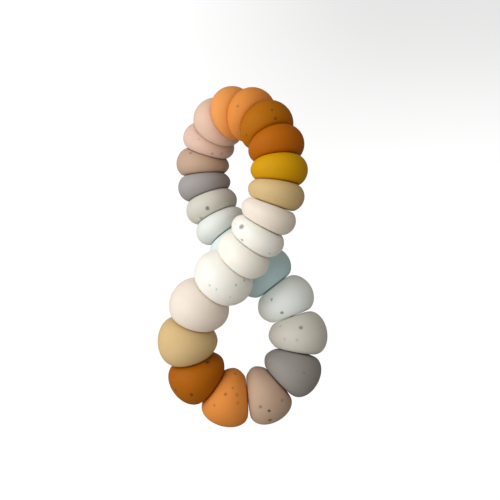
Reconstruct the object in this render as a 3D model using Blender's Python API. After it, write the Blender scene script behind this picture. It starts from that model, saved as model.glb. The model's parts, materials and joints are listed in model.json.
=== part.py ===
"""Looped pebble toy: soft silicone pebbles threaded on one elastic cord, lying crossed in a figure eight.

Run with:  blender --background --python part.py

Units are metres, +Z is up and the toy rests on z = 0. The long way of the eight runs along Y. The cord's two
ends meet in a sleeve that sits in a pocket of one pebble, under the crossing. Every other pebble can turn on
the cord, so each one has its own origin on the cord, with its local Z along it.
"""

import math

import bmesh
import bpy
import numpy as np
from mathutils import Matrix, Vector

TOY_NAME = "looped_pebble_toy"

MM = 0.001

# The two pebble sizes: radius about the cord in millimetres, how much of the length is rounded off towards
# the faces, how much more than that on the wide side of a wedge, and how far a bend in the cord pushes the
# pebble outwards
SLIM = {"radius": 11.0, "end_share": 0.63, "end_lean": 0.7, "lean": 2.5}
FAT = {"radius": 12.0, "end_share": 0.755, "end_lean": 0.5, "lean": 5.5}
# The gap between two pebbles' faces, and how sharply a pebble's skin turns into a face
FACE_GAP = 0.4
END_SOFTNESS = 14.0

# The cord, its bore, and the sleeve that joins its ends
CORD_RADIUS = 1.2
BORE_RADIUS = 1.8
CORD_END_GAP = 1.0
SLEEVE_LENGTH = 9.0
SLEEVE_RADIUS = 2.7
SLEEVE_BORE_RADIUS = 1.6
POCKET_RADIUS = 3.1
POCKET_CLEARANCE = 0.6

# How finely round shapes are divided
PEBBLE_SEGMENTS = 16
PEBBLE_RINGS = 10
# How far a facet's corners stand outside the round form in millimetres, so that the facets lie about it
# evenly
FACET_ALLOWANCE = 0.15
CORD_POINTS = 72
SLEEVE_SEGMENTS = 16
ROUTE_STEPS = 40

# The cord's route, in millimetres: from the slope between the pink and the first orange pebble, over the far
# end, down the high run, over the crossing, round the near loop, under the crossing and back up the low run
ROUTE = [
    (-7.5, 57.8, 22.1),
    (-0.4, 58.0, 27.5),
    (12.1, 46.0, 37.8),
    (14.1, 27.8, 40.5),
    (8.0, 11.4, 39.0),
    (-3.0, -3.0, 34.3),
    (-12.8, -13.2, 29.2),
    (-20.9, -25.8, 24.0),
    (-21.3, -40.2, 19.0),
    (-13.6, -51.1, 15.0),
    (0.5, -55.3, 13.0),
    (12.9, -49.6, 12.0),
    (20.3, -37.2, 12.0),
    (18.6, -22.8, 12.0),
    (11.3, -9.8, 12.0),
    (-9.0, 12.5, 12.0),
    (-16.3, 27.8, 11.1),
    (-18.4, 36.6, 11.1),
    (-16.6, 46.0, 12.5),
]
# The middle of the toy's box, which the toy is built around, and the height of its lowest point
ROUTE_CENTRE = (-0.9, 1.1, -0.25)

# Each pebble in its order on the cord: name, size, its share of the cord in millimetres, colour
PEBBLES = [
    ("pebble_01_orange", SLIM, 8.7, "orange"),
    ("pebble_02_orange_speckled", SLIM, 9.9, "orange"),
    ("pebble_03_ochre_speckled", SLIM, 10.4, "ochre"),
    ("pebble_04_cognac", SLIM, 9.6, "cognac"),
    ("pebble_05_mustard", SLIM, 9.3, "mustard"),
    ("pebble_06_tan", SLIM, 8.7, "tan"),
    ("pebble_07_blush", SLIM, 8.6, "blush"),
    ("pebble_08_cream_speckled", SLIM, 8.8, "cream"),
    ("pebble_09_cream", SLIM, 9.9, "cream"),
    ("pebble_10_cream_speckled", FAT, 15.2, "cream"),
    ("pebble_11_blush", FAT, 16.0, "blush"),
    ("pebble_12_tan", FAT, 15.4, "tan"),
    ("pebble_13_cognac_speckled", FAT, 14.8, "cognac"),
    ("pebble_14_orange_speckled", FAT, 15.1, "orange"),
    ("pebble_15_mauve_speckled", FAT, 14.3, "mauve"),
    ("pebble_16_grey_speckled", FAT, 14.4, "grey"),
    ("pebble_17_oat_speckled", FAT, 14.6, "oat"),
    ("pebble_18_mint_speckled", FAT, 14.2, "mint"),
    ("pebble_19_teal", FAT, 14.5, "teal"),
    ("pebble_20_sky", FAT, 14.9, "sky"),
    ("pebble_21_mint", SLIM, 8.6, "mint"),
    ("pebble_22_oat_speckled", SLIM, 9.3, "oat"),
    ("pebble_23_grey", SLIM, 8.9, "grey"),
    ("pebble_24_mauve_speckled", SLIM, 9.4, "mauve"),
    ("pebble_25_pink_speckled", SLIM, 9.3, "pink"),
    ("pebble_26_pink", SLIM, 10.1, "pink"),
]
SLEEVE_PEBBLE = "pebble_20_sky"

# Linear colours
COLOURS = {
    "orange": (0.75, 0.25, 0.06),
    "ochre": (0.43, 0.18, 0.02),
    "cognac": (0.35, 0.11, 0.01),
    "mustard": (0.55, 0.33, 0.01),
    "tan": (0.54, 0.38, 0.17),
    "blush": (0.80, 0.66, 0.57),
    "cream": (0.90, 0.84, 0.72),
    "mauve": (0.36, 0.21, 0.15),
    "grey": (0.25, 0.24, 0.22),
    "oat": (0.56, 0.53, 0.46),
    "mint": (0.67, 0.72, 0.69),
    "teal": (0.25, 0.34, 0.35),
    "sky": (0.58, 0.70, 0.70),
    "pink": (0.72, 0.42, 0.30),
    "cord": (0.80, 0.78, 0.72),
    "sleeve": (0.75, 0.75, 0.73),
}


# ---------------------------------------------------------------- scene helpers


def clear_scene():
    """Remove every object, so that the script can be run again."""
    for obj in list(bpy.data.objects):
        bpy.data.objects.remove(obj, do_unlink=True)


def new_collection(name):
    """A collection that is linked to the scene."""
    collection = bpy.data.collections.new(name)
    bpy.context.scene.collection.children.link(collection)
    return collection


def new_material(name, colour, roughness):
    """A Principled material of one colour."""
    material = bpy.data.materials.new(name)
    material.use_nodes = True
    shader = material.node_tree.nodes["Principled BSDF"]
    shader.inputs["Base Color"].default_value = (*colour, 1.0)
    shader.inputs["Roughness"].default_value = roughness
    shader.inputs["Metallic"].default_value = 0.0
    return material


def new_object(name, mesh, collection, material=None):
    """An object for a mesh, in a collection, with its material."""
    obj = bpy.data.objects.new(name, mesh)
    collection.objects.link(obj)
    if material is not None:
        mesh.materials.append(material)
    return obj


def mark_as_cutter(obj):
    """Keep a cutting shape out of the model itself."""
    obj.hide_render = True
    obj.display_type = "WIRE"


def cut_with(obj, cutter):
    """Take the cutter's shape out of an object."""
    boolean = obj.modifiers.new("cut_" + cutter.name, "BOOLEAN")
    boolean.operation = "DIFFERENCE"
    boolean.solver = "EXACT"
    boolean.object = cutter


# ---------------------------------------------------------------- the cord's route


def spline_bends(points, spans):
    """Second derivatives, at its points, of the smooth closed curve through them."""
    count = len(points)
    matrix = np.zeros((count, count))
    turns = np.zeros((count, 3))
    for i in range(count):
        after = (i + 1) % count
        matrix[i, i - 1] += spans[i - 1]
        matrix[i, i] += 2.0 * (spans[i - 1] + spans[i])
        matrix[i, after] += spans[i]
        slope_out = (points[after] - points[i]) / spans[i]
        slope_in = (points[i] - points[i - 1]) / spans[i - 1]
        turns[i] = 6.0 * (slope_out - slope_in)
    return np.linalg.solve(matrix, turns)


class Route:
    """The closed curve that the cord follows, read by the distance along it in millimetres."""

    def __init__(self, points):
        points = np.array(points) - ROUTE_CENTRE
        spans = np.linalg.norm(np.roll(points, -1, axis=0) - points, axis=1)
        bends = spline_bends(points, spans)
        curve = []
        for i in range(len(points)):
            after = (i + 1) % len(points)
            span = spans[i]
            for step in range(ROUTE_STEPS):
                t = span * step / ROUTE_STEPS
                left = span - t
                cubic = (bends[i] * left**3 + bends[after] * t**3) / (6.0 * span)
                line_left = (points[i] / span - bends[i] * span / 6.0) * left
                line_right = (points[after] / span - bends[after] * span / 6.0) * t
                curve.append(cubic + line_left + line_right)
        curve.append(curve[0])
        self.curve = np.array(curve)
        steps = np.linalg.norm(np.diff(self.curve, axis=0), axis=1)
        self.distances = np.concatenate([[0.0], np.cumsum(steps)])
        self.length = float(self.distances[-1])

    def point(self, distance):
        """The place at a distance along the cord."""
        wrapped = distance % self.length
        return Vector([float(np.interp(wrapped, self.distances, self.curve[:, k])) for k in range(3)])

    def direction(self, distance):
        """The cord's direction at a distance along it."""
        reach = 0.5
        return (self.point(distance + reach) - self.point(distance - reach)).normalized()


def pebble_spans(route):
    """Where each pebble starts and ends along the route, which the pebbles fill between them."""
    stretch = route.length / sum(length for _, _, length, _ in PEBBLES)
    spans = []
    start = 0.0
    for _, _, length, _ in PEBBLES:
        end = start + length * stretch
        spans.append((start, end))
        start = end
    return spans


# ---------------------------------------------------------------- pebbles


def pebble_axes(route, start, end):
    """A pebble's place and turn: local Z along the cord, local X to the outside of the cord's bend."""
    first, last = route.point(start), route.point(end)
    along = (last - first).normalized()
    inward = route.direction(end) - route.direction(start)
    outward = -(inward - along * inward.dot(along)).normalized()
    sideways = along.cross(outward)
    turn = Matrix((outward, sideways, along)).transposed().to_4x4()
    return Matrix.Translation((first + last) / 2.0) @ turn


def end_plane(matrix, place, normal):
    """A plane across the cord, in a pebble's own axes: height on Z, and slopes along X and Y."""
    local_place = matrix.inverted() @ place
    local_normal = matrix.to_3x3().inverted() @ normal
    slope_x = -local_normal.x / local_normal.z
    slope_y = -local_normal.y / local_normal.z
    height = local_place.z - slope_x * local_place.x - slope_y * local_place.y
    return height, slope_x, slope_y


def softened(share):
    """Rise from -1 to 1 with round shoulders, which turns a ball's end into a gently domed face."""
    return share / (1.0 + abs(share) ** END_SOFTNESS) ** (1.0 / END_SOFTNESS)


def pebble_mesh(name, size, matrix, low_plane, high_plane):
    """A ball, pressed between the planes of its two neighbours, fuller on the outside of the bend."""
    wedge = (high_plane[1] - low_plane[1]) / 2.0
    mesh = bpy.data.meshes.new(name)
    bm = bmesh.new()
    bmesh.ops.create_uvsphere(bm, u_segments=PEBBLE_SEGMENTS, v_segments=PEBBLE_RINGS, radius=1.0)
    for vert in bm.verts:
        ball = vert.co.copy()
        rim = math.hypot(ball.x, ball.y)
        outwardness = ball.x / rim if rim > 1e-6 else 0.0
        end_share = size["end_share"] + size["end_lean"] * wedge * outwardness
        press = softened(ball.z / end_share) / softened(1.0 / end_share)
        x = (size["radius"] + FACET_ALLOWANCE) * ball.x + size["lean"] * wedge
        y = (size["radius"] + FACET_ALLOWANCE) * ball.y
        low = low_plane[0] + low_plane[1] * x + low_plane[2] * y
        high = high_plane[0] + high_plane[1] * x + high_plane[2] * y
        half = (high - low - FACE_GAP) / 2.0
        vert.co = Vector((x, y, (low + high) / 2.0 + press * half)) * MM
    bm.to_mesh(mesh)
    bm.free()
    mesh.shade_smooth()
    return mesh


def build_pebbles(route, collection, materials):
    """Every pebble of the loop, each with its origin on the cord."""
    pebbles = {}
    for (name, size, _, colour), (start, end) in zip(PEBBLES, pebble_spans(route)):
        matrix = pebble_axes(route, start, end)
        low_plane = end_plane(matrix, route.point(start), route.direction(start))
        high_plane = end_plane(matrix, route.point(end), route.direction(end))
        mesh = pebble_mesh(name, size, matrix, low_plane, high_plane)
        pebble = new_object(name, mesh, collection, materials[colour])
        place, turn, _ = matrix.decompose()
        pebble.matrix_world = Matrix.Translation(place * MM) @ turn.to_matrix().to_4x4()
        pebbles[name] = pebble
    return pebbles


# ---------------------------------------------------------------- cord, bore and sleeve


def tube_along(name, points, radius, closed):
    """A round tube mesh object along a row of points."""
    curve = bpy.data.curves.new(name, "CURVE")
    curve.dimensions = "3D"
    curve.bevel_depth = radius * MM
    curve.bevel_resolution = 2
    curve.use_fill_caps = True
    spline = curve.splines.new("POLY")
    spline.points.add(len(points) - 1)
    for spline_point, place in zip(spline.points, points):
        spline_point.co = (*(place * MM), 1.0)
    spline.use_cyclic_u = closed
    source = bpy.data.objects.new(name + "_path", curve)
    bpy.context.scene.collection.objects.link(source)
    depsgraph = bpy.context.evaluated_depsgraph_get()
    mesh = bpy.data.meshes.new_from_object(source.evaluated_get(depsgraph))
    bpy.data.objects.remove(source, do_unlink=True)
    bm = bmesh.new()
    bm.from_mesh(mesh)
    bmesh.ops.remove_doubles(bm, verts=bm.verts, dist=0.00001)
    bmesh.ops.recalc_face_normals(bm, faces=bm.faces)
    bm.to_mesh(mesh)
    bm.free()
    mesh.name = name
    mesh.shade_smooth()
    return mesh


def route_points(route, start, end, count):
    """Evenly spaced points along a stretch of the route."""
    return [route.point(start + (end - start) * i / (count - 1)) for i in range(count)]


def cylinder_mesh(name, radius, low, high):
    """A closed cylinder about Z, between two heights."""
    mesh = bpy.data.meshes.new(name)
    bm = bmesh.new()
    bmesh.ops.create_cone(
        bm,
        cap_ends=True,
        segments=SLEEVE_SEGMENTS,
        radius1=radius * MM,
        radius2=radius * MM,
        depth=(high - low) * MM,
        matrix=Matrix.Translation((0.0, 0.0, (low + high) / 2.0 * MM)),
    )
    bm.to_mesh(mesh)
    bm.free()
    return mesh


def build_cord(route, join, collection, materials):
    """The elastic cord, all the way round from one end to the other."""
    points = route_points(
        route, join + CORD_END_GAP / 2.0, join + route.length - CORD_END_GAP / 2.0, CORD_POINTS
    )
    mesh = tube_along("elastic_cord", points, CORD_RADIUS, closed=False)
    return new_object("elastic_cord", mesh, collection, materials["cord"])


def build_bore_cutter(route, collection):
    """The tube that opens every pebble's bore, along the cord's own route."""
    points = route_points(route, 0.0, route.length, CORD_POINTS + 1)[:-1]
    mesh = tube_along("bore_cutter", points, BORE_RADIUS, closed=True)
    cutter = new_object("bore_cutter", mesh, collection)
    mark_as_cutter(cutter)
    return cutter


def build_sleeve(pebble, collection, cutters, materials):
    """The joining sleeve, in the middle of the pebble that hides it."""
    half = SLEEVE_LENGTH / 2.0
    sleeve = new_object(
        "cord_sleeve",
        cylinder_mesh("cord_sleeve", SLEEVE_RADIUS, -half, half),
        collection,
        materials["sleeve"],
    )
    bore = new_object(
        "sleeve_bore_cutter",
        cylinder_mesh("sleeve_bore_cutter", SLEEVE_BORE_RADIUS, -half - 1.0, half + 1.0),
        cutters,
    )
    mark_as_cutter(bore)
    for obj in (sleeve, bore):
        obj.matrix_world = pebble.matrix_world.copy()
    cut_with(sleeve, bore)


def cut_pocket(pebble, cutters):
    """Open the sleeve's pocket from the pebble's far face to just past the sleeve."""
    floor = -SLEEVE_LENGTH / 2.0 - POCKET_CLEARANCE
    mouth = FAT["radius"]
    pocket = new_object(
        "pocket_cutter", cylinder_mesh("pocket_cutter", POCKET_RADIUS, floor, mouth), cutters
    )
    mark_as_cutter(pocket)
    pocket.matrix_world = pebble.matrix_world.copy()
    cut_with(pebble, pocket)


# ---------------------------------------------------------------- the toy


def build_toy():
    """The whole toy."""
    clear_scene()
    toy = new_collection(TOY_NAME)
    cutters = new_collection("cutters")
    materials = {name: new_material(name, colour, 0.6) for name, colour in COLOURS.items()}
    route = Route(ROUTE)
    pebbles = build_pebbles(route, toy, materials)
    bore_cutter = build_bore_cutter(route, cutters)
    for pebble in pebbles.values():
        cut_with(pebble, bore_cutter)
    names = [row[0] for row in PEBBLES]
    start, end = pebble_spans(route)[names.index(SLEEVE_PEBBLE)]
    build_cord(route, (start + end) / 2.0, toy, materials)
    build_sleeve(pebbles[SLEEVE_PEBBLE], toy, cutters, materials)
    cut_pocket(pebbles[SLEEVE_PEBBLE], cutters)


build_toy()
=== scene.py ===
"""Looped pebble toy: the finished look of the soft silicone pebbles on their elastic cord.

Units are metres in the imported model's frame, apart from the cord's route and the pebbles' own sizes, which
are in millimetres as the design gives them. +Z is up and the toy lies on z = 0.
"""

import json
import math
import random

import bpy
import numpy as np
from mathutils import Matrix, Vector


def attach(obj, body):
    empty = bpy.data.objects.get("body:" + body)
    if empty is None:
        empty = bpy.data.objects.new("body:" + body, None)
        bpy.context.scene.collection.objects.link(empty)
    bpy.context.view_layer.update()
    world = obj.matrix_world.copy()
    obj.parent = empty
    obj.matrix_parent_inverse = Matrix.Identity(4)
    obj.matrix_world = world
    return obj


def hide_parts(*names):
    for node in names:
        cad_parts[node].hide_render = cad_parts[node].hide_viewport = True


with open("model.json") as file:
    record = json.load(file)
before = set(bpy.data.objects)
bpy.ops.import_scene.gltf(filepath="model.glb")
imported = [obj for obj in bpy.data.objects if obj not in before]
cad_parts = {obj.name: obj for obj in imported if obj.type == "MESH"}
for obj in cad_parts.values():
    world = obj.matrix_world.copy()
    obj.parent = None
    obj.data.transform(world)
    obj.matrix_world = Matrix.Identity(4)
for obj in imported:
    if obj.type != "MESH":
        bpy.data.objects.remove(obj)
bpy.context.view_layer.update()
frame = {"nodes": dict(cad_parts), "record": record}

MM = 0.001

# The two pebble sizes: radius about the cord in millimetres, how much of the length is rounded off towards
# the faces, how much more than that on the wide side of a wedge, and how far a bend in the cord pushes the
# pebble outwards
SLIM = {"radius": 11.0, "end_share": 0.63, "end_lean": 0.7, "lean": 2.5}
FAT = {"radius": 12.0, "end_share": 0.755, "end_lean": 0.5, "lean": 5.5}
# The gap left between two soft pebbles' faces, how deeply one face cups the next, and how sharply a
# pebble's skin turns into a face
SOFT_GAP = 0.12
NEST_DEPTH = 0.35
END_SOFTNESS = 14.0
# How far the finished skin keeps inside the design's own radius, and the share of that radius over which
# the outward push fades in around the bore
SKIN_INSET = 0.08
LEAN_FADE = 0.35

# The cord, its bore, and the pocket for the sleeve that joins its ends
CORD_RADIUS = 1.2
BORE_RADIUS = 1.8
CORD_END_GAP = 1.0
SLEEVE_LENGTH = 9.0
POCKET_RADIUS = 3.1
POCKET_CLEARANCE = 0.6

# How finely the route is divided between two of its points, and how far a direction is measured to each
# side
ROUTE_STEPS = 40
DIRECTION_REACH = 0.5

# How finely a pebble's skin is divided: round the cord, from face to face, and along the bore
SKIN_SEGMENTS = 96
SKIN_RINGS = 56
BORE_RINGS = 14

# The cord's braid: threads each way, the length over which a thread passes one place round the cord, how
# deep the weave is, and how finely it is divided
BRAID_THREADS = 5
BRAID_PITCH = 1.6
BRAID_DEPTH = 0.07
BRAID_STEP = 0.32
BRAID_SEGMENTS = 30

# The cord's route, in millimetres: from the slope between the pink and the first orange pebble, over the
# far end, down the high run, over the crossing, round the near loop, under the crossing and back up the low
# run
ROUTE = [
    (-7.5, 57.8, 22.1),
    (-0.4, 58.0, 27.5),
    (12.1, 46.0, 37.8),
    (14.1, 27.8, 40.5),
    (8.0, 11.4, 39.0),
    (-3.0, -3.0, 34.3),
    (-12.8, -13.2, 29.2),
    (-20.9, -25.8, 24.0),
    (-21.3, -40.2, 19.0),
    (-13.6, -51.1, 15.0),
    (0.5, -55.3, 13.0),
    (12.9, -49.6, 12.0),
    (20.3, -37.2, 12.0),
    (18.6, -22.8, 12.0),
    (11.3, -9.8, 12.0),
    (-9.0, 12.5, 12.0),
    (-16.3, 27.8, 11.1),
    (-18.4, 36.6, 11.1),
    (-16.6, 46.0, 12.5),
]
# The middle of the toy's box, which the toy is built around, and the height of its lowest point
ROUTE_CENTRE = (-0.9, 1.1, -0.25)

# Each pebble in its order on the cord: node, size, its share of the cord in millimetres
PEBBLES = [
    ("pebble_01_orange", SLIM, 8.7),
    ("pebble_02_orange_speckled", SLIM, 9.9),
    ("pebble_03_ochre_speckled", SLIM, 10.4),
    ("pebble_04_cognac", SLIM, 9.6),
    ("pebble_05_mustard", SLIM, 9.3),
    ("pebble_06_tan", SLIM, 8.7),
    ("pebble_07_blush", SLIM, 8.6),
    ("pebble_08_cream_speckled", SLIM, 8.8),
    ("pebble_09_cream", SLIM, 9.9),
    ("pebble_10_cream_speckled", FAT, 15.2),
    ("pebble_11_blush", FAT, 16.0),
    ("pebble_12_tan", FAT, 15.4),
    ("pebble_13_cognac_speckled", FAT, 14.8),
    ("pebble_14_orange_speckled", FAT, 15.1),
    ("pebble_15_mauve_speckled", FAT, 14.3),
    ("pebble_16_grey_speckled", FAT, 14.4),
    ("pebble_17_oat_speckled", FAT, 14.6),
    ("pebble_18_mint_speckled", FAT, 14.2),
    ("pebble_19_teal", FAT, 14.5),
    ("pebble_20_sky", FAT, 14.9),
    ("pebble_21_mint", SLIM, 8.6),
    ("pebble_22_oat_speckled", SLIM, 9.3),
    ("pebble_23_grey", SLIM, 8.9),
    ("pebble_24_mauve_speckled", SLIM, 9.4),
    ("pebble_25_pink_speckled", SLIM, 9.3),
    ("pebble_26_pink", SLIM, 10.1),
]
SLEEVE_PEBBLE = "pebble_20_sky"

# Linear silicone colours, by material slot; mint_speckled and teal carry painted light against the shadow of
# the strand crossing over them
SILICONE = {
    "orange": (0.8, 0.33, 0.085),
    "orange_speckled": (0.73, 0.26, 0.05),
    "ochre_speckled": (0.43, 0.137, 0.001),
    "cognac": (0.44, 0.118, 0.001),
    "cognac_speckled": (0.385, 0.108, 0.001),
    "mustard": (0.61, 0.31, 0.001),
    "tan": (0.64, 0.465, 0.225),
    "blush": (0.83, 0.75, 0.66),
    "cream": (0.96, 0.93, 0.84),
    "cream_speckled": (0.95, 0.93, 0.87),
    "mauve_speckled": (0.52, 0.365, 0.265),
    "grey": (0.35, 0.33, 0.33),
    "grey_speckled": (0.295, 0.28, 0.26),
    "oat_speckled": (0.62, 0.61, 0.55),
    "mint": (0.74, 0.79, 0.77),
    # Lighter than the mint silicone's own colour: painted light that offsets the shadow of the strand
    # crossing over this pebble
    "mint_speckled": (0.84, 0.91, 0.9),
    # Lightened beyond its own colour: painted light that offsets the shadow of the strand crossing over this
    # pebble
    "teal": (0.52, 0.71, 0.76),
    "sky": (0.72, 0.84, 0.86),
    "pink": (0.74, 0.515, 0.4),
    "pink_speckled": (0.73, 0.51, 0.415),
}

# The silicone's surface: how much darker and lighter its clouds are than its colour, the range of its
# roughness, and its fine grain
CLOUD_SCALE = 190.0
CLOUD_DARK = 0.955
CLOUD_LIGHT = 1.04
SHINE_SCALE = 420.0
SILICONE_ROUGHNESS = (0.42, 0.6)
GRAIN_SCALE = 2600.0
GRAIN_STRENGTH = 0.1
BUMP_DEPTH = 0.0001
# A colour counts as pale by how far its darkest channel is above PALE_FROM. Paler silicone has more shine,
# more light inside it and more of a powdery bloom
PALE_FROM = 0.2
DARK_SPECULAR = 0.1
PALE_SPECULAR = 0.3
PALE_SUBSURFACE = 1.1
SUBSURFACE_RADIUS = (1.0, 0.8, 0.65)
SUBSURFACE_SCALE = 0.004
PALE_BLOOM = 0.6
BLOOM_ROUGHNESS = 0.6
BLOOM_TINT = (1.0, 0.93, 0.84, 1.0)

# Specks in the upper side's silicone, for each pebble that has them: turn about the cord in degrees, share
# of the way from face to face, width in millimetres, and how dark it is
SPECKS = {
    "pebble_02_orange_speckled": [(85, 0.57, 1.0, 0.45)],
    "pebble_03_ochre_speckled": [(35, 0.58, 0.9, 0.5), (35, 0.70, 1.3, 0.55), (115, 0.60, 1.1, 0.4)],
    "pebble_08_cream_speckled": [
        (90, 0.46, 1.9, 0.7), (75, 0.65, 1.2, 0.6), (5, 0.60, 0.8, 0.4), (110, 0.50, 0.8, 0.4)
    ],
    "pebble_10_cream_speckled": [
        (-45, 0.35, 1.1, 0.45), (-65, 0.25, 1.2, 0.5), (-20, 0.53, 1.0, 0.3), (-50, 0.52, 0.8, 0.25),
        (-5, 0.55, 1.0, 0.3),
    ],
    "pebble_13_cognac_speckled": [(-145, 0.32, 1.7, 0.7), (-45, 0.45, 1.2, 0.6), (-75, 0.56, 1.5, 0.7)],
    "pebble_14_orange_speckled": [
        (-160, 0.48, 1.4, 0.4), (-125, 0.49, 1.1, 0.4), (-110, 0.42, 1.2, 0.5), (-80, 0.34, 1.2, 0.35),
        (-115, 0.57, 1.4, 0.3), (-100, 0.60, 1.3, 0.25),
    ],
    "pebble_15_mauve_speckled": [
        (-80, 0.40, 1.4, 0.5), (-65, 0.48, 1.3, 0.85), (-40, 0.45, 1.6, 0.75), (-70, 0.67, 1.1, 0.35)
    ],
    "pebble_16_grey_speckled": [(-70, 0.56, 0.9, 0.4)],
    "pebble_17_oat_speckled": [
        (-80, 0.59, 1.4, 0.6), (-125, 0.65, 1.0, 0.3), (-115, 0.46, 1.0, 0.25), (-90, 0.44, 1.0, 0.25)
    ],
    "pebble_18_mint_speckled": [(-115, 0.60, 1.2, 0.6), (-110, 0.36, 1.4, 0.7)],
    "pebble_22_oat_speckled": [(95, 0.40, 1.6, 0.7), (65, 0.30, 1.4, 0.5)],
    "pebble_24_mauve_speckled": [(90, 0.67, 1.3, 0.45)],
    "pebble_25_pink_speckled": [
        (85, 0.76, 1.3, 0.45), (130, 0.62, 0.9, 0.25), (170, 0.44, 1.2, 0.4), (-170, 0.50, 1.2, 0.35)
    ],
}
# Specks scattered over each speckled pebble's underside, and the ranges of their widths in millimetres, of
# how dark they are and of their shares of the way from face to face
HIDDEN_SPECKS = 9
SPECK_WIDTHS = (0.7, 1.6)
SPECK_DARKNESS = (0.3, 0.75)
SPECK_SHARES = (0.2, 0.8)
# How a speck's edge wanders, in metres and by how fine a noise, and its soft edge in shares of its width
SPECK_RAGGEDNESS = 0.0011
SPECK_NOISE_SCALE = 1500.0
SPECK_OUTER = 0.72
SPECK_INNER = 0.28
SPECK_COLOUR = (0.05, 0.07, 0.085)
DARK_SPECK_COLOUR = (0.05, 0.03, 0.022)
DARK_SPECKED = ("orange_speckled", "ochre_speckled", "cognac_speckled", "mauve_speckled")

# The cord's threads and the sleeve's plastic: two colours each, roughness and noise
THREAD_COLOURS = ((0.66, 0.63, 0.56), (0.86, 0.84, 0.78))
THREAD_SCALE = 3200.0
THREAD_ROUGHNESS = 0.8
THREAD_SHEEN = 0.3
THREAD_STRENGTH = 0.4
SLEEVE_COLOURS = ((0.70, 0.70, 0.67), (0.80, 0.80, 0.78))
SLEEVE_SCALE = 500.0
SLEEVE_ROUGHNESS = (0.38, 0.55)
SLEEVE_SUBSURFACE = 0.1
SLEEVE_SUBSURFACE_SCALE = 0.001

# The table: its own grey, its painted glow near and far, which shows it white whatever shadow falls on it,
# and where along X and Y that painted light falls off
FLOOR_REACH = 3.0
FLOOR_GREY = 0.06
FLOOR_ROUGHNESS = 0.9
FLOOR_PAINTED_GLOW = (1.0, 0.74)
FLOOR_PAINTED_FALLOFF_X = (-0.065, 0.065)
FLOOR_PAINTED_FALLOFF_Y = (0.02, 0.115)

# The key light, and the light from all round, which is brightest from WORLD_FROM
KEY_PLACE = (-0.66, 0.14, 0.60)
KEY_AIM = (0.0, 0.0, 0.02)
KEY_SIZE = 1.1
KEY_POWER = 6.7
KEY_COLOUR = (0.96, 0.98, 1.0)
WORLD_COLOUR = (1.0, 0.95, 0.88)
WORLD_FROM = (-0.45, 0.15, 0.9)
WORLD_FACING = (-0.5, 0.9)
WORLD_STRENGTH = (0.19, 0.7)

# The camera: the point it looks at, the way back from there to it, its distance, and half the width it sees
CAMERA_TARGET = Vector((0.0024, 0.0034, 0.0125))
CAMERA_BACK = Vector((0.069, -0.067, 1.0)).normalized()
CAMERA_DISTANCE = 0.369
HALF_VIEW = 0.1025
SENSOR_WIDTH = 36.0


# ---------------------------------------------------------------- the cord's route


def spline_bends(points, spans):
    """Second derivatives, at its points, of the smooth closed curve through them."""
    count = len(points)
    matrix = np.zeros((count, count))
    turns = np.zeros((count, 3))
    for i in range(count):
        after = (i + 1) % count
        matrix[i, i - 1] += spans[i - 1]
        matrix[i, i] += 2.0 * (spans[i - 1] + spans[i])
        matrix[i, after] += spans[i]
        slope_out = (points[after] - points[i]) / spans[i]
        slope_in = (points[i] - points[i - 1]) / spans[i - 1]
        turns[i] = 6.0 * (slope_out - slope_in)
    return np.linalg.solve(matrix, turns)


class Route:
    """The closed curve that the cord follows, read by the distance along it in millimetres."""

    def __init__(self, points):
        points = np.array(points) - ROUTE_CENTRE
        spans = np.linalg.norm(np.roll(points, -1, axis=0) - points, axis=1)
        bends = spline_bends(points, spans)
        curve = []
        for i in range(len(points)):
            after = (i + 1) % len(points)
            span = spans[i]
            for step in range(ROUTE_STEPS):
                t = span * step / ROUTE_STEPS
                left = span - t
                cubic = (bends[i] * left**3 + bends[after] * t**3) / (6.0 * span)
                line_left = (points[i] / span - bends[i] * span / 6.0) * left
                line_right = (points[after] / span - bends[after] * span / 6.0) * t
                curve.append(cubic + line_left + line_right)
        curve.append(curve[0])
        self.curve = np.array(curve)
        steps = np.linalg.norm(np.diff(self.curve, axis=0), axis=1)
        self.distances = np.concatenate([[0.0], np.cumsum(steps)])
        self.length = float(self.distances[-1])

    def point(self, distance):
        """The place at a distance along the cord."""
        wrapped = distance % self.length
        return Vector([float(np.interp(wrapped, self.distances, self.curve[:, k])) for k in range(3)])

    def direction(self, distance):
        """The cord's direction at a distance along it."""
        ahead, behind = self.point(distance + DIRECTION_REACH), self.point(distance - DIRECTION_REACH)
        return (ahead - behind).normalized()


def pebble_spans(route):
    """Where each pebble starts and ends along the route, which the pebbles fill between them."""
    stretch = route.length / sum(length for _, _, length in PEBBLES)
    spans = []
    start = 0.0
    for _, _, length in PEBBLES:
        end = start + length * stretch
        spans.append((start, end))
        start = end
    return spans


# ---------------------------------------------------------------- a pebble's shape


def pebble_axes(route, start, end):
    """A pebble's place and turn: local Z along the cord, local X to the outside of the cord's bend."""
    first, last = route.point(start), route.point(end)
    along = (last - first).normalized()
    inward = route.direction(end) - route.direction(start)
    outward = -(inward - along * inward.dot(along)).normalized()
    sideways = along.cross(outward)
    turn = Matrix((outward, sideways, along)).transposed().to_4x4()
    return Matrix.Translation((first + last) / 2.0) @ turn


def end_plane(matrix, place, normal):
    """A plane across the cord, in a pebble's own axes: height on Z, and slopes along X and Y."""
    local_place = matrix.inverted() @ place
    local_normal = matrix.to_3x3().inverted() @ normal
    slope_x = -local_normal.x / local_normal.z
    slope_y = -local_normal.y / local_normal.z
    height = local_place.z - slope_x * local_place.x - slope_y * local_place.y
    return height, slope_x, slope_y


def softened(share):
    """Rise from -1 to 1 with round shoulders, which turns a ball's end into a gently domed face."""
    return share / (1.0 + abs(share) ** END_SOFTNESS) ** (1.0 / END_SOFTNESS)


def eased(share):
    """Rise smoothly from 0 to 1."""
    share = min(max(share, 0.0), 1.0)
    return share * share * (3.0 - 2.0 * share)


def on_ball(turn, polar):
    """A place on the unit ball, by the turn about Z and the turn up from its lowest point."""
    return Vector((math.sin(polar) * math.cos(turn), math.sin(polar) * math.sin(turn), -math.cos(polar)))


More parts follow.
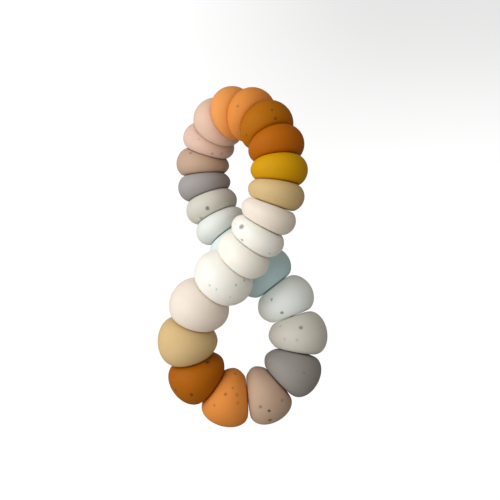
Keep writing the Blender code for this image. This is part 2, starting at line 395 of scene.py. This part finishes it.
class Pebble:
    """One pebble's form: a ball pressed between its neighbours, fuller on the outside of the bend."""

    def __init__(self, route, size, start, end):
        self.route = route
        self.size = size
        self.start = start
        self.end = end
        self.matrix = pebble_axes(route, start, end)
        self.low = end_plane(self.matrix, route.point(start), route.direction(start))
        self.high = end_plane(self.matrix, route.point(end), route.direction(end))
        self.wedge = (self.high[1] - self.low[1]) / 2.0

    def skin(self, ball):
        """The skin's place, in the pebble's own axes, for a place on the unit ball."""
        rim = math.hypot(ball.x, ball.y)
        outwardness = ball.x / rim if rim > 1e-6 else 0.0
        end_share = self.size["end_share"] + self.size["end_lean"] * self.wedge * outwardness
        press = softened(ball.z / end_share) / softened(1.0 / end_share)
        bore_rim = BORE_RADIUS / self.size["radius"]
        lean = self.size["lean"] * self.wedge * eased((rim - bore_rim) / LEAN_FADE)
        x = (self.size["radius"] - SKIN_INSET) * ball.x + lean
        y = (self.size["radius"] - SKIN_INSET) * ball.y
        low = self.low[0] + self.low[1] * x + self.low[2] * y
        high = self.high[0] + self.high[1] * x + self.high[2] * y
        half = (high - low - SOFT_GAP) / 2.0
        nest = NEST_DEPTH * (1.0 - rim * rim)
        return Vector((x, y, (low + high) / 2.0 + press * half + nest))

    def skin_at(self, degrees, share):
        """The skin's place in the row frame, by the turn about the cord and the share from face to face."""
        return self.matrix @ self.skin(on_ball(math.radians(degrees), math.pi * share))


def speck_places(pebble, placed, seed):
    """Every speck of a pebble: its place in metres, its width in millimetres and how dark it is."""
    specks = [(pebble.skin_at(turn, share) * MM, width, dark) for turn, share, width, dark in placed]
    draw = random.Random(seed)
    middle = pebble.matrix.to_translation()
    while len(specks) < len(placed) + HIDDEN_SPECKS:
        place = pebble.skin_at(draw.uniform(-180.0, 180.0), draw.uniform(*SPECK_SHARES))
        width, dark = draw.uniform(*SPECK_WIDTHS), draw.uniform(*SPECK_DARKNESS)
        if place.z < middle.z:
            specks.append((place * MM, width, dark))
    return specks


def pebble_rings(pebble, bore_radius_at):
    """Rings of points over the skin from one face to the other, then back through the bore."""
    rings = []
    turns = [2.0 * math.pi * k / SKIN_SEGMENTS for k in range(SKIN_SEGMENTS)]
    mouth = math.asin(BORE_RADIUS / pebble.size["radius"])
    for i in range(SKIN_RINGS):
        polar = mouth + (math.pi - 2.0 * mouth) * i / (SKIN_RINGS - 1)
        rings.append([pebble.skin(on_ball(turn, polar)) for turn in turns])
    first = sum(p.z for p in rings[0]) / SKIN_SEGMENTS
    last = sum(p.z for p in rings[-1]) / SKIN_SEGMENTS
    inverse = pebble.matrix.inverted()
    for i in range(1, BORE_RINGS - 1):
        share = 1.0 - i / (BORE_RINGS - 1)
        centre = inverse @ pebble.route.point(pebble.start + (pebble.end - pebble.start) * share)
        height = first + (last - first) * share
        radius = bore_radius_at(height)
        rings.append(
            [
                Vector((centre.x + radius * math.cos(turn), centre.y + radius * math.sin(turn), height))
                for turn in turns
            ]
        )
    return rings


def ring_mesh(name, rings, closed, matrix):
    """A quad mesh in the row frame through rings of points, joined end to end or capped."""
    count = len(rings[0])
    points = [tuple(matrix @ p * MM) for ring in rings for p in ring]
    faces = []
    for i in range(len(rings) if closed else len(rings) - 1):
        after = (i + 1) % len(rings)
        for k in range(count):
            side = (k + 1) % count
            faces.append((i * count + k, i * count + side, after * count + side, after * count + k))
    if not closed:
        faces.append(tuple(reversed(range(count))))
        faces.append(tuple((len(rings) - 1) * count + k for k in range(count)))
    mesh = bpy.data.meshes.new(name)
    mesh.from_pydata(points, [], faces)
    mesh.validate()
    mesh.shade_smooth()
    return mesh


# ---------------------------------------------------------------- materials


def shader_nodes(name):
    """A new material, its nodes, its links and its Principled shader."""
    material = bpy.data.materials.new(name)
    material.use_nodes = True
    tree = material.node_tree
    return material, tree.nodes, tree.links, tree.nodes["Principled BSDF"]


def noise_node(nodes, links, vector, scale, detail):
    """A noise texture over a vector."""
    node = nodes.new("ShaderNodeTexNoise")
    node.inputs["Scale"].default_value = scale
    node.inputs["Detail"].default_value = detail
    links.new(vector, node.inputs["Vector"])
    return node


def vector_math(nodes, links, operation, vector):
    """A vector maths node whose first input is a vector."""
    node = nodes.new("ShaderNodeVectorMath")
    node.operation = operation
    links.new(vector, node.inputs[0])
    return node


def spread(nodes, links, value, low, high):
    """A value from 0 to 1 spread evenly from low to high."""
    node = nodes.new("ShaderNodeMapRange")
    node.inputs["To Min"].default_value = low
    node.inputs["To Max"].default_value = high
    links.new(value, node.inputs["Value"])
    return node.outputs["Result"]


def add_bump(nodes, links, shader, height, strength):
    """Fine relief on a shader."""
    bump = nodes.new("ShaderNodeBump")
    bump.inputs["Strength"].default_value = strength
    bump.inputs["Distance"].default_value = BUMP_DEPTH
    links.new(height, bump.inputs["Height"])
    links.new(bump.outputs["Normal"], shader.inputs["Normal"])


def speck_mask(nodes, links, vector, specks):
    """How dark a point is under a pebble's specks, from 0 to 1."""
    ragged = noise_node(nodes, links, vector, SPECK_NOISE_SCALE, 2.0)
    centred = vector_math(nodes, links, "SUBTRACT", ragged.outputs["Color"])
    centred.inputs[1].default_value = (0.5, 0.5, 0.5)
    shift = vector_math(nodes, links, "SCALE", centred.outputs[0])
    shift.inputs["Scale"].default_value = SPECK_RAGGEDNESS
    moved = vector_math(nodes, links, "ADD", vector)
    links.new(shift.outputs[0], moved.inputs[1])
    total = None
    for place, width, dark in specks:
        reach = vector_math(nodes, links, "DISTANCE", moved.outputs[0])
        reach.inputs[1].default_value = place
        spot = nodes.new("ShaderNodeMapRange")
        spot.interpolation_type = "SMOOTHSTEP"
        spot.inputs["From Min"].default_value = width * SPECK_OUTER * MM
        spot.inputs["From Max"].default_value = width * SPECK_INNER * MM
        spot.inputs["To Min"].default_value = 0.0
        spot.inputs["To Max"].default_value = dark
        links.new(reach.outputs["Value"], spot.inputs["Value"])
        if total is None:
            total = spot.outputs["Result"]
            continue
        larger = nodes.new("ShaderNodeMath")
        larger.operation = "MAXIMUM"
        links.new(total, larger.inputs[0])
        links.new(spot.outputs["Result"], larger.inputs[1])
        total = larger.outputs["Value"]
    return total


def mix_colours(nodes, links, factor, first, second):
    """A blend of two colours, each a colour or another node's output."""
    mix = nodes.new("ShaderNodeMix")
    mix.data_type = "RGBA"
    links.new(factor, mix.inputs["Factor"])
    for name, colour in (("A", first), ("B", second)):
        if isinstance(colour, tuple):
            mix.inputs[name].default_value = (*colour, 1.0)
        else:
            links.new(colour, mix.inputs[name])
    return mix.outputs["Result"]


def silicone_material(name, colour, specks, speck_colour):
    """Soft matte silicone: a velvety, faintly clouded skin that lets a little light in, with its specks."""
    material, nodes, links, shader = shader_nodes(name)
    paleness = max(min(colour) - PALE_FROM, 0.0)
    shader.inputs["Specular IOR Level"].default_value = DARK_SPECULAR + PALE_SPECULAR * paleness
    shader.inputs["Subsurface Weight"].default_value = PALE_SUBSURFACE * paleness
    shader.inputs["Subsurface Radius"].default_value = SUBSURFACE_RADIUS
    shader.inputs["Subsurface Scale"].default_value = SUBSURFACE_SCALE
    shader.inputs["Sheen Weight"].default_value = PALE_BLOOM * paleness
    shader.inputs["Sheen Roughness"].default_value = BLOOM_ROUGHNESS
    shader.inputs["Sheen Tint"].default_value = BLOOM_TINT
    place = nodes.new("ShaderNodeTexCoord").outputs["Object"]

    cloud = noise_node(nodes, links, place, CLOUD_SCALE, 4.0)
    darker = tuple(c * CLOUD_DARK for c in colour)
    lighter = tuple(min(c * CLOUD_LIGHT, 1.0) for c in colour)
    skin = mix_colours(nodes, links, cloud.outputs["Fac"], darker, lighter)
    if specks:
        skin = mix_colours(nodes, links, speck_mask(nodes, links, place, specks), skin, speck_colour)
    links.new(skin, shader.inputs["Base Color"])

    shine = noise_node(nodes, links, place, SHINE_SCALE, 3.0)
    links.new(spread(nodes, links, shine.outputs["Fac"], *SILICONE_ROUGHNESS), shader.inputs["Roughness"])
    grain = noise_node(nodes, links, place, GRAIN_SCALE, 2.0)
    add_bump(nodes, links, shader, grain.outputs["Fac"], GRAIN_STRENGTH)
    return material


def cord_material():
    """Braided polyester over rubber, off-white, with a fine weave."""
    material, nodes, links, shader = shader_nodes("elastic_braid")
    shader.inputs["Roughness"].default_value = THREAD_ROUGHNESS
    shader.inputs["Sheen Weight"].default_value = THREAD_SHEEN
    place = nodes.new("ShaderNodeTexCoord").outputs["Object"]
    fibres = noise_node(nodes, links, place, THREAD_SCALE, 3.0)
    thread = mix_colours(nodes, links, fibres.outputs["Fac"], *THREAD_COLOURS)
    links.new(thread, shader.inputs["Base Color"])
    add_bump(nodes, links, shader, fibres.outputs["Fac"], THREAD_STRENGTH)
    return material


def sleeve_material():
    """Milky moulded plastic with faint flow marks."""
    material, nodes, links, shader = shader_nodes("sleeve_plastic")
    shader.inputs["Subsurface Weight"].default_value = SLEEVE_SUBSURFACE
    shader.inputs["Subsurface Scale"].default_value = SLEEVE_SUBSURFACE_SCALE
    place = nodes.new("ShaderNodeTexCoord").outputs["Object"]
    flow = noise_node(nodes, links, place, SLEEVE_SCALE, 3.0)
    milk = mix_colours(nodes, links, flow.outputs["Fac"], *SLEEVE_COLOURS)
    links.new(milk, shader.inputs["Base Color"])
    links.new(spread(nodes, links, flow.outputs["Fac"], *SLEEVE_ROUGHNESS), shader.inputs["Roughness"])
    return material


# ---------------------------------------------------------------- the toy


route = Route(ROUTE)
spans = pebble_spans(route)
bodies = frame["record"]["behaviour"]["bodies"]
node_body = {node: body for body, members in bodies.items() for node in members}


def pocketed(height):
    """The bore's radius in the pebble that hides the sleeve."""
    return POCKET_RADIUS if height > -SLEEVE_LENGTH / 2.0 - POCKET_CLEARANCE else BORE_RADIUS


def plain_bore(height):
    """The bore's radius in every other pebble."""
    return BORE_RADIUS


def add_piece(name, mesh, material, node):
    """A shown piece that stands for one CAD node and rides on its body."""
    piece = bpy.data.objects.new(name, mesh)
    bpy.context.scene.collection.objects.link(piece)
    mesh.materials.append(material)
    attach(piece, node_body[node])
    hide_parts(node)


for index, ((node, size, _), (start, end)) in enumerate(zip(PEBBLES, spans)):
    pebble = Pebble(route, size, start, end)
    rings = pebble_rings(pebble, pocketed if node == SLEEVE_PEBBLE else plain_bore)
    piece_name = node.replace("pebble", "silicone")
    slot = node.split("_", 2)[2]
    specks = speck_places(pebble, SPECKS[node], index) if node in SPECKS else []
    speck_colour = DARK_SPECK_COLOUR if slot in DARK_SPECKED else SPECK_COLOUR
    add_piece(
        piece_name,
        ring_mesh(piece_name, rings, True, pebble.matrix),
        silicone_material(piece_name, SILICONE[slot], specks, speck_colour),
        node,
    )


def braid_rings():
    """Rings along the cord with two sets of threads wound over each other, its ends inside the sleeve."""
    sleeve_start, sleeve_end = spans[[node for node, _, _ in PEBBLES].index(SLEEVE_PEBBLE)]
    join = (sleeve_start + sleeve_end) / 2.0
    length = route.length - CORD_END_GAP
    count = int(length / BRAID_STEP)
    rings = []
    for i in range(count + 1):
        distance = join + CORD_END_GAP / 2.0 + length * i / count
        middle, along = route.point(distance), route.direction(distance)
        across = along.cross(Vector((0.0, 0.0, 1.0))).normalized()
        upward = across.cross(along)
        wind = 2.0 * math.pi * i / count * round(length / BRAID_PITCH)
        ring = []
        for k in range(BRAID_SEGMENTS):
            turn = 2.0 * math.pi * k / BRAID_SEGMENTS
            right_hand = math.cos(BRAID_THREADS * turn + wind)
            left_hand = math.cos(BRAID_THREADS * turn - wind)
            radius = CORD_RADIUS - BRAID_DEPTH * (1.0 - max(right_hand, left_hand))
            ring.append(middle + (across * math.cos(turn) + upward * math.sin(turn)) * radius)
        rings.append(ring)
    return rings


add_piece(
    "elastic_braid",
    ring_mesh("elastic_braid", braid_rings(), False, Matrix.Identity(4)),
    cord_material(),
    "elastic_cord",
)
sleeve = frame["nodes"]["cord_sleeve"]
sleeve.data.materials.clear()
sleeve.data.materials.append(sleeve_material())


# ---------------------------------------------------------------- floor, light and camera


def area_light(name, place, aim, size, power, colour):
    """A soft square light that faces a point."""
    data = bpy.data.lights.new(name, "AREA")
    data.size = size
    data.energy = power
    data.color = colour
    light = bpy.data.objects.new(name, data)
    bpy.context.scene.collection.objects.link(light)
    light.location = place
    light.rotation_euler = (Vector(aim) - Vector(place)).to_track_quat("-Z", "Y").to_euler()


def ramp(nodes, links, value, start, end, low, high):
    """A smooth rise from low to high as a value goes from start to end."""
    node = nodes.new("ShaderNodeMapRange")
    node.interpolation_type = "SMOOTHSTEP"
    for name, number in (("From Min", start), ("From Max", end), ("To Min", low), ("To Max", high)):
        node.inputs[name].default_value = number
    links.new(value, node.inputs["Value"])
    return node.outputs["Result"]


def floor_material():
    """A table shown white by its own painted glow, which hides any shadow on it, with a painted falloff of
    that light to a pale grey towards its far right corner.
    """
    material, nodes, links, shader = shader_nodes("floor")
    shader.inputs["Base Color"].default_value = (FLOOR_GREY, FLOOR_GREY, FLOOR_GREY, 1.0)
    shader.inputs["Roughness"].default_value = FLOOR_ROUGHNESS
    shader.inputs["Specular IOR Level"].default_value = 0.0
    shader.inputs["Emission Color"].default_value = (1.0, 1.0, 1.0, 1.0)
    split = nodes.new("ShaderNodeSeparateXYZ")
    links.new(nodes.new("ShaderNodeTexCoord").outputs["Object"], split.inputs["Vector"])
    # Painted falloff of light: the floor's glow dims towards its far right corner
    rightwards = ramp(nodes, links, split.outputs["X"], *FLOOR_PAINTED_FALLOFF_X, 0.0, 1.0)
    far = ramp(nodes, links, split.outputs["Y"], *FLOOR_PAINTED_FALLOFF_Y, 0.0, 1.0)
    corner = nodes.new("ShaderNodeMath")
    corner.operation = "MULTIPLY"
    links.new(rightwards, corner.inputs[0])
    links.new(far, corner.inputs[1])
    glow = spread(nodes, links, corner.outputs["Value"], *FLOOR_PAINTED_GLOW)
    links.new(glow, shader.inputs["Emission Strength"])
    return material


def studio_world():
    """Soft warm light from all round above, brightest from the upper left and dim from below."""
    world = bpy.data.worlds.new("studio")
    world.use_nodes = True
    nodes, links = world.node_tree.nodes, world.node_tree.links
    place = nodes.new("ShaderNodeTexCoord").outputs["Generated"]
    facing = vector_math(nodes, links, "DOT_PRODUCT", place)
    facing.inputs[1].default_value = Vector(WORLD_FROM).normalized()
    background = nodes["Background"]
    background.inputs["Color"].default_value = (*WORLD_COLOUR, 1.0)
    strength = ramp(nodes, links, facing.outputs["Value"], *WORLD_FACING, *WORLD_STRENGTH)
    links.new(strength, background.inputs["Strength"])
    return world


floor_mesh = bpy.data.meshes.new("floor")
corners = [(x * FLOOR_REACH, y * FLOOR_REACH, 0.0) for x, y in ((-1, -1), (1, -1), (1, 1), (-1, 1))]
floor_mesh.from_pydata(corners, [], [(0, 1, 2, 3)])
floor = bpy.data.objects.new("floor", floor_mesh)
bpy.context.scene.collection.objects.link(floor)
# The floor's painted glow is kept out of the light that falls on the toy and out of its reflections
floor.visible_diffuse = False
floor.visible_glossy = False
floor_mesh.materials.append(floor_material())

area_light("key", KEY_PLACE, KEY_AIM, KEY_SIZE, KEY_POWER, KEY_COLOUR)
bpy.context.scene.world = studio_world()
bpy.context.scene.view_settings.view_transform = "Standard"

camera_data = bpy.data.cameras.new("camera")
camera_data.sensor_width = SENSOR_WIDTH
camera_data.lens = SENSOR_WIDTH / 2.0 * CAMERA_DISTANCE / HALF_VIEW
camera = bpy.data.objects.new("camera", camera_data)
bpy.context.scene.collection.objects.link(camera)
up = (Vector((0.0, 1.0, 0.0)) - CAMERA_BACK * CAMERA_BACK.y).normalized()
right = up.cross(CAMERA_BACK)
camera.matrix_world = Matrix.Translation(CAMERA_TARGET + CAMERA_BACK * CAMERA_DISTANCE) @ Matrix(
    (right, up, CAMERA_BACK)
).transposed().to_4x4()
bpy.context.scene.camera = camera

bpy.context.view_layer.update()
